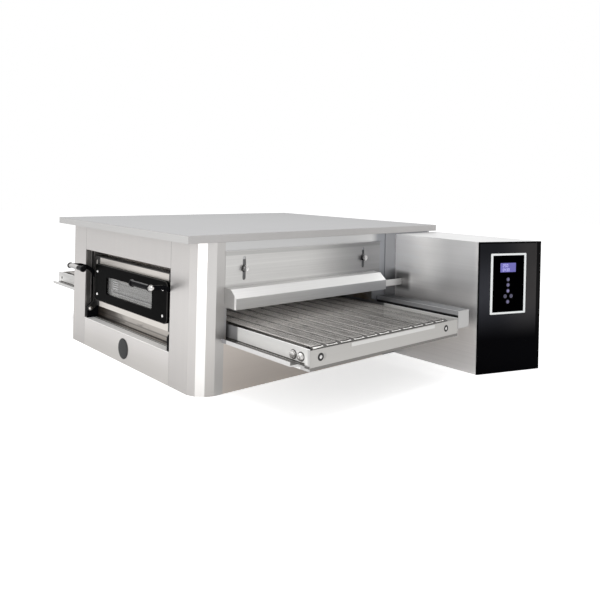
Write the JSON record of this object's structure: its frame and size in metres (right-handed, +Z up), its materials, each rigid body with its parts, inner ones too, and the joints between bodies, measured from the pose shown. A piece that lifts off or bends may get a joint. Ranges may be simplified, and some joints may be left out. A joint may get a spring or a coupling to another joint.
{
  "type": "conveyor pizza oven",
  "caption": "Countertop tunnel oven: a wire belt runs through a steel casing with a fold-down windowed door, sliding end dampers with hoods and a side control box",
  "frame": {"origin": "middle of the casing's footprint, on the surface that it stands on", "axes": "+X along the belt toward the control box, +Y from the door to the back, +Z up"},
  "size_m": [1.6517, 1.1195, 0.4448],
  "materials": {
    "brushed_steel": "satin",
    "galvanised_sheet": "matte",
    "black_enamel": "gloss",
    "chrome": "polished",
    "window_glass": "gloss",
    "mineral_wool": "matte",
    "element_tube": "matte",
    "belt_wire": "satin",
    "dark_casting": "matte",
    "button_rubber": "matte"
  },
  "bodies": {
    "casing": {"base_pan": "galvanised_sheet", "front_upper_panel": "brushed_steel", "front_lower_panel": "brushed_steel", "rear_panel": "brushed_steel", "top_plate": "brushed_steel", "chamber_floor": "galvanised_sheet", "chamber_front_wall": "galvanised_sheet", "chamber_rear_wall": "galvanised_sheet", "chamber_ceiling": "galvanised_sheet", "insulation_top": "mineral_wool", "insulation_bottom": "mineral_wool", "upper_heating_element": "element_tube", "lower_heating_element": "element_tube", "conveyor_side_front": "brushed_steel", "conveyor_side_rear": "brushed_steel", "wire_belt": "belt_wire", "drive_chain": "dark_casting", "motor_bracket": "galvanised_sheet", "gearmotor": "dark_casting", "chain_guard": "brushed_steel", "control_box_shell": "brushed_steel", "control_panel": "black_enamel", "keypad_plate": "black_enamel", "corner_post_front_right": "brushed_steel", "corner_post_rear_right": "brushed_steel", "end_panel_right": "brushed_steel", "conveyor_end_right": "brushed_steel", "hinge_bracket_right": "black_enamel", "corner_post_front_left": "brushed_steel", "corner_post_rear_left": "brushed_steel", "end_panel_left": "brushed_steel", "conveyor_end_left": "brushed_steel", "hinge_bracket_left": "black_enamel"},
    "door": {"door_panel": "brushed_steel", "door_frame": "black_enamel", "door_glass": "window_glass", "door_arm_right": "black_enamel", "door_arm_left": "black_enamel", "door_grip_right": "black_enamel", "door_grip_left": "black_enamel"},
    "damper_right": {"damper_panel_right": "brushed_steel", "hood_right": "brushed_steel"},
    "thumbscrew_right_front_body": {"thumbscrew_right_front": "chrome"},
    "thumbscrew_right_rear_body": {"thumbscrew_right_rear": "chrome"},
    "tray_right": {"crumb_tray_right": "brushed_steel"},
    "damper_left": {"damper_panel_left": "brushed_steel", "hood_left": "brushed_steel"},
    "thumbscrew_left_front_body": {"thumbscrew_left_front": "chrome"},
    "thumbscrew_left_rear_body": {"thumbscrew_left_rear": "chrome"},
    "tray_left": {"crumb_tray_left": "brushed_steel"},
    "drive_shaft": {"drive_roller": "brushed_steel"},
    "idler": {"idler_roller": "brushed_steel"},
    "motor_shaft": {"motor_sprocket": "dark_casting"},
    "button_up_body": {"button_up": "button_rubber"},
    "button_set_body": {"button_set": "button_rubber"},
    "button_down_body": {"button_down": "button_rubber"},
    "button_minus_body": {"button_minus": "button_rubber"},
    "button_plus_body": {"button_plus": "button_rubber"},
    "button_power_body": {"button_power": "button_rubber"}
  },
  "joints": [
    {"name": "door_hinge", "type": "hinge", "parent": "casing", "child": "door", "pos_m": [0, -0.512, 0.13], "axis": [1, 0, 0], "range_deg": [0, 90]},
    {"name": "damper_slide_right", "type": "slide", "parent": "casing", "child": "damper_right", "axis": [0, 0, 1], "range_m": [-0.025, 0.02]},
    {"name": "thumbscrew_turn_right_front", "type": "hinge", "parent": "casing", "child": "thumbscrew_right_front_body", "pos_m": [0.4445, -0.3765, 0.3457], "axis": [1, 0, 0], "range_deg": [0, 360]},
    {"name": "thumbscrew_turn_right_rear", "type": "hinge", "parent": "casing", "child": "thumbscrew_right_rear_body", "pos_m": [0.4445, 0.12, 0.3457], "axis": [1, 0, 0], "range_deg": [0, 360]},
    {"name": "crumb_tray_slide_right", "type": "slide", "parent": "casing", "child": "tray_right", "axis": [1, 0, 0], "range_m": [0, 0.3]},
    {"name": "damper_slide_left", "type": "slide", "parent": "casing", "child": "damper_left", "axis": [0, 0, 1], "range_m": [-0.025, 0.02]},
    {"name": "thumbscrew_turn_left_front", "type": "hinge", "parent": "casing", "child": "thumbscrew_left_front_body", "pos_m": [-0.4445, -0.3765, 0.3457], "axis": [-1, 0, 0], "range_deg": [0, 360]},
    {"name": "thumbscrew_turn_left_rear", "type": "hinge", "parent": "casing", "child": "thumbscrew_left_rear_body", "pos_m": [-0.4445, 0.12, 0.3457], "axis": [-1, 0, 0], "range_deg": [0, 360]},
    {"name": "crumb_tray_slide_left", "type": "slide", "parent": "casing", "child": "tray_left", "axis": [-1, 0, 0], "range_m": [0, 0.3]},
    {"name": "drive_roller_spin", "type": "hinge", "parent": "casing", "child": "drive_shaft", "pos_m": [0.752, -0.1225, 0.1703], "axis": [0, 1, 0], "continuous": true},
    {"name": "idler_roller_spin", "type": "hinge", "parent": "casing", "child": "idler", "pos_m": [-0.752, -0.1225, 0.1703], "axis": [0, 1, 0], "continuous": true},
    {"name": "motor_shaft_spin", "type": "hinge", "parent": "casing", "child": "motor_shaft", "pos_m": [0.3837, 0.214, 0.1703], "axis": [0, 1, 0], "continuous": true},
    {"name": "press_up", "type": "slide", "parent": "casing", "child": "button_up_body", "axis": [-0.9412, 0.3377, 0], "range_m": [0, 0.0012], "stiffness_N_per_m": 600, "springref_m": -0.0005},
    {"name": "press_set", "type": "slide", "parent": "casing", "child": "button_set_body", "axis": [-0.9412, 0.3377, 0], "range_m": [0, 0.0012], "stiffness_N_per_m": 600, "springref_m": -0.0005},
    {"name": "press_down", "type": "slide", "parent": "casing", "child": "button_down_body", "axis": [-0.9412, 0.3377, 0], "range_m": [0, 0.0012], "stiffness_N_per_m": 600, "springref_m": -0.0005},
    {"name": "press_minus", "type": "slide", "parent": "casing", "child": "button_minus_body", "axis": [-0.9412, 0.3377, 0], "range_m": [0, 0.0012], "stiffness_N_per_m": 600, "springref_m": -0.0005},
    {"name": "press_plus", "type": "slide", "parent": "casing", "child": "button_plus_body", "axis": [-0.9412, 0.3377, 0], "range_m": [0, 0.0012], "stiffness_N_per_m": 600, "springref_m": -0.0005},
    {"name": "press_power", "type": "slide", "parent": "casing", "child": "button_power_body", "axis": [-0.9412, 0.3377, 0], "range_m": [0, 0.0012], "stiffness_N_per_m": 600, "springref_m": -0.0005}
  ],
  "couplings": [
    {"joint": "idler_roller_spin", "follows": "drive_roller_spin", "ratio": 1},
    {"joint": "motor_shaft_spin", "follows": "drive_roller_spin", "ratio": 1}
  ]
}
